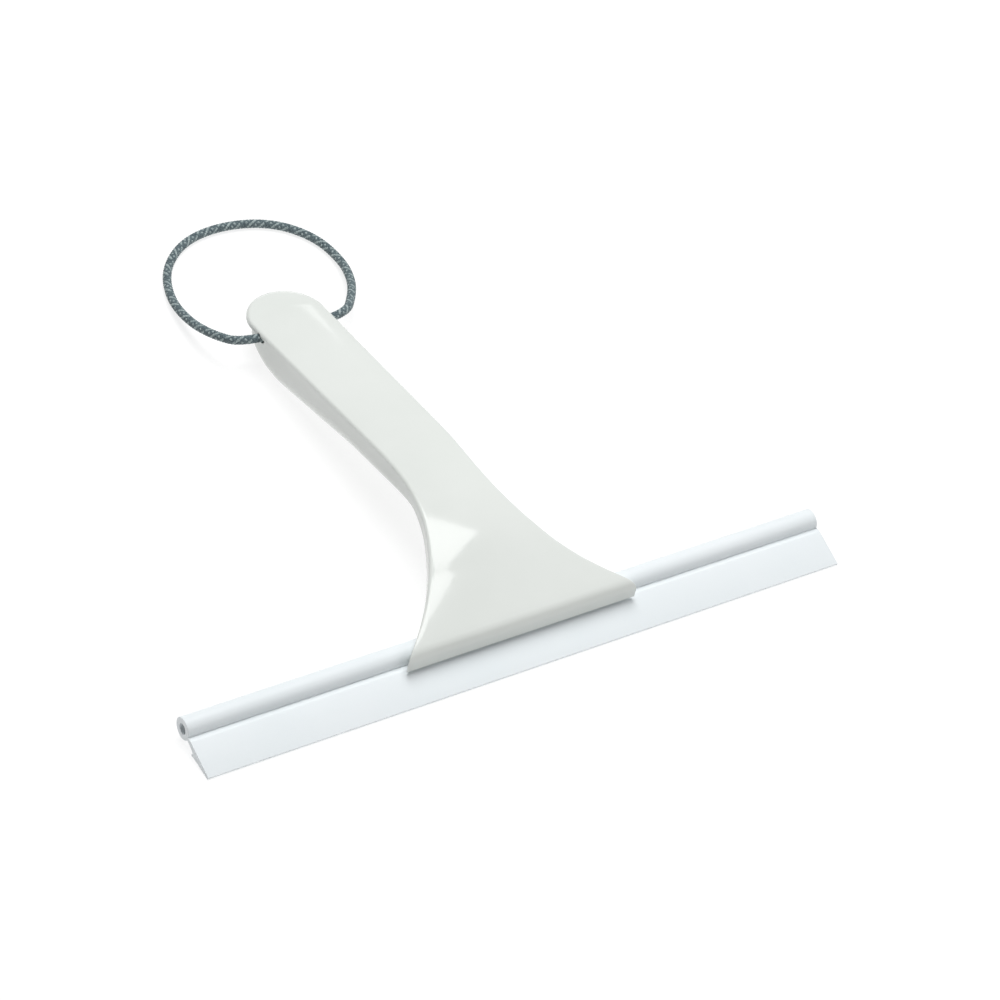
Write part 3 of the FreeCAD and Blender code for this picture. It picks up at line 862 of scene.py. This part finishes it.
def bore_outline(sides=96):
    turns = [2 * math.pi * i / sides for i in range(sides)]
    return [(BEAD[0] + BORE_RADIUS * math.cos(t), BEAD[1] + BORE_RADIUS * math.sin(t)) for t in turns]


TIP_FRONT, TIP_BACK = 0.28, -0.62  # the tip's two faces, either side of the neck's line


def lip_outline():
    """The lip's wedge: thin neck, a barb on its back, a thin straight working edge."""
    slope = math.radians(LIP_SLOPE)
    down = Vector((-math.cos(slope), -math.sin(slope)))
    front = Vector((-math.sin(slope), math.cos(slope)))
    neck = Vector(HINGE)

    def at(distance, out):
        return tuple(neck + down * distance + front * out)

    root = [at(NECK_RADIUS * -math.sin(math.pi * i / 8), NECK_RADIUS * -math.cos(math.pi * i / 8))
            for i in range(1, 8)]
    corners = [at(0, NECK_RADIUS), at(1.6, 0.95), at(LIP_LENGTH, TIP_FRONT), at(LIP_LENGTH, TIP_BACK),
               at(5.4, -2.55), at(3.9, -3.15), at(4.4, -1.75), at(3.4, -1.15), at(1.4, -0.8),
               at(0, -NECK_RADIUS)]
    radii = {1: 1.2, 2: 0.14, 3: 0.14, 4: 0.5, 5: 0.15, 6: 0.3, 7: 0.5, 8: 0.8}
    outline = softened(corners, radii, 4) + root
    return outline[::-1]


extruded("bead_tube", [bead_outline(), bore_outline()], 0.18, RUBBER, ("blade_bead", "blade"))
extruded("wiping_lip", [lip_outline()], 0.08, RUBBER, ("blade_lip", "lip"))


# ---------------------------------------------------------------- carried nodes

def give(node, material):
    """Puts the material on a piece that stays as it was built."""
    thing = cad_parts[node]
    thing.data.materials.clear()
    thing.data.materials.append(material)


give("shell_screws", STEEL)
give("stiffening_rod", ALUMINIUM)
give("cord_knot", YARN_DARK)


# ---------------------------------------------------------------- braided loop

CARRIERS = 8               # strands laid each way round the core
BRAID_PITCH = 9.0
STRAND_HALF_WIDTH = 0.40
STRAND_HALF_DEPTH = 0.26
WEAVE_DEPTH = 0.15         # how far a strand rises and dips
STRAND_SIDES = 6
STRAND_STEP = 0.16         # length of a strand's segments
CORE_SIDES = 10
CORE_STEP = 6              # the core takes every sixth point of the line
SPLINE_STEPS = 24


def is_light(way, carrier):
    """Two light strands each way, and a third one way, as flecks in the dark braid."""
    return carrier % 4 == 0 or (way == 1 and carrier == 2)


def swept(line, side, up_way, outline):
    """A closed tube of the outline along the line; outline gives (sideways, upwards) per side."""
    count, sides = len(line), len(outline)
    rings = np.stack([line + side * a + up_way * b for a, b in outline], axis=1).reshape(-1, 3)
    faces = []
    for i in range(count - 1):
        for k in range(sides):
            m = (k + 1) % sides
            faces.append((i * sides + k, i * sides + m, (i + 1) * sides + m, (i + 1) * sides + k))
    faces.append(tuple(range(sides - 1, -1, -1)))
    faces.append(tuple((count - 1) * sides + k for k in range(sides)))
    return rings, faces


def braided(name, route_points, exit_point):
    """Strands wound both ways round a core, each dipping under those that cross it."""
    line, reach = evenly(route_points, STRAND_STEP * MM)
    side, upwards = carried_frames(line)
    outer = CORD_DIAMETER / 2
    middle = outer - STRAND_HALF_DEPTH - WEAVE_DEPTH
    vertices, faces, finish = [], [], []

    def add(points, new_faces, material):
        base = sum(len(v) for v in vertices)
        vertices.append(points)
        faces.extend(tuple(base + i for i in face) for face in new_faces)
        finish.extend([material] * len(new_faces))

    ellipse = [(STRAND_HALF_WIDTH * MM * math.cos(2 * math.pi * k / STRAND_SIDES),
                STRAND_HALF_DEPTH * MM * math.sin(2 * math.pi * k / STRAND_SIDES))
               for k in range(STRAND_SIDES)]
    for way in (-1, 1):
        for carrier in range(CARRIERS):
            turn = way * 2 * math.pi * reach / (BRAID_PITCH * MM) + 2 * math.pi * carrier / CARRIERS
            weave = way * np.cos(2 * math.pi * CARRIERS * reach / (BRAID_PITCH * MM))
            distance = (middle + WEAVE_DEPTH * weave) * MM
            out = side * np.cos(turn)[:, None] + upwards * np.sin(turn)[:, None]
            strand = line + out * distance[:, None]
            along = np.gradient(strand, axis=0)
            along /= np.linalg.norm(along, axis=1)[:, None]
            wide = np.cross(along, out)
            wide /= np.linalg.norm(wide, axis=1)[:, None]
            points, new_faces = swept(strand, wide, out, ellipse)
            add(points, new_faces, 1 if is_light(way, carrier) else 0)
    core_turns = [2 * math.pi * k / CORE_SIDES for k in range(CORE_SIDES)]
    core = [((middle - 0.1) * MM * math.cos(turn), (middle - 0.1) * MM * math.sin(turn))
            for turn in core_turns]
    points, new_faces = swept(line[::CORE_STEP], side[::CORE_STEP], upwards[::CORE_STEP], core)
    add(points, new_faces, 2)
    mesh = bpy.data.meshes.new(name)
    mesh.from_pydata(np.concatenate(vertices).tolist(), [], faces)
    for material in (YARN_DARK, YARN_LIGHT, YARN_CORE):
        mesh.materials.append(material)
    mesh.polygons.foreach_set("material_index", finish)
    mesh.flip_normals()
    mesh.update()
    finish_shading(mesh, 70.0)
    thing = bpy.data.objects.new(name, mesh)
    scene.collection.objects.link(thing)
    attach(thing, "loop")
    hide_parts("hang_cord")
    tuple(exit_point)


loop_points = spline_points(LOOP_ROUTE, SPLINE_STEPS)
braided("hanging_loop", loop_points, loop_points[0])


# ---------------------------------------------------------------- floor and light

FLOOR_GLOW = 0.80          # keeps the pale floor white in the soft shadows
FLOOR_HALF = 20.0
FLOOR_HEIGHT = -0.0001
WHITE = (1.0, 1.0, 1.0, 1.0)
WORLD_STRENGTH = 0.12
KEY_WATTS = 31.0
FRONT_WATTS = 3.2
EDGE_WATTS = 1.7
END_WATTS = 0.35


def floor_material():
    """Plain pale floor."""
    material, tree, shader = node_material("floor")
    colour = ramp(tree, noise(tree, 3.0), (0.25, 0.25, 0.25), (0.26, 0.26, 0.26))
    tree.links.new(colour, shader.inputs["Base Color"])
    shader.inputs["Roughness"].default_value = 0.9
    shader.inputs["Specular IOR Level"].default_value = 0.1
    shader.inputs["Emission Color"].default_value = WHITE
    shader.inputs["Emission Strength"].default_value = FLOOR_GLOW
    return material


floor_corners = [(x * FLOOR_HALF, y * FLOOR_HALF, FLOOR_HEIGHT)
                 for x, y in ((-1, -1), (1, -1), (1, 1), (-1, 1))]
floor_mesh = bpy.data.meshes.new("floor")
floor_mesh.from_pydata(floor_corners, [], [(0, 1, 2, 3)])
floor_mesh.materials.append(floor_material())
floor = bpy.data.objects.new("floor", floor_mesh)
scene.collection.objects.link(floor)

world = bpy.data.worlds.new("studio")
world.use_nodes = True
world.node_tree.nodes["Background"].inputs["Color"].default_value = WHITE
world.node_tree.nodes["Background"].inputs["Strength"].default_value = WORLD_STRENGTH
scene.world = world
scene.view_settings.view_transform = "Standard"


def softbox(name, place, target, size, watts):
    """A rectangular light in metres, turned towards the target."""
    light = bpy.data.lights.new(name, "AREA")
    light.shape = "RECTANGLE"
    light.size, light.size_y = size
    light.energy = watts
    thing = bpy.data.objects.new(name, light)
    scene.collection.objects.link(thing)
    thing.location = place
    thing.rotation_mode = "QUATERNION"
    thing.rotation_quaternion = (Vector(target) - Vector(place)).to_track_quat("-Z", "Y")
    return thing


# Two lights give the shade and show in no surface; two only show as reflections,
# on the flare's left edge and on the grip's end.
key = softbox("key", (0.20, 0.38, 1.6), (0.0, 0.0, 0.0), (1.2, 1.3), KEY_WATTS)
front = softbox("front", (0.5, -1.0, 0.9), (0.0, 0.0, 0.0), (0.8, 0.8), FRONT_WATTS)
for light in (key, front):
    light.visible_glossy = False
edge_light = softbox("edge_light", (0.28, 0.25, 1.2), (-0.02, -0.045, 0.0), (0.66, 0.24), EDGE_WATTS)
end_light = softbox("end_light", (0.55, 1.19, 0.42), (0.0, 0.08, 0.014), (0.40, 0.22), END_WATTS)
for light in (edge_light, end_light):
    light.visible_diffuse = False
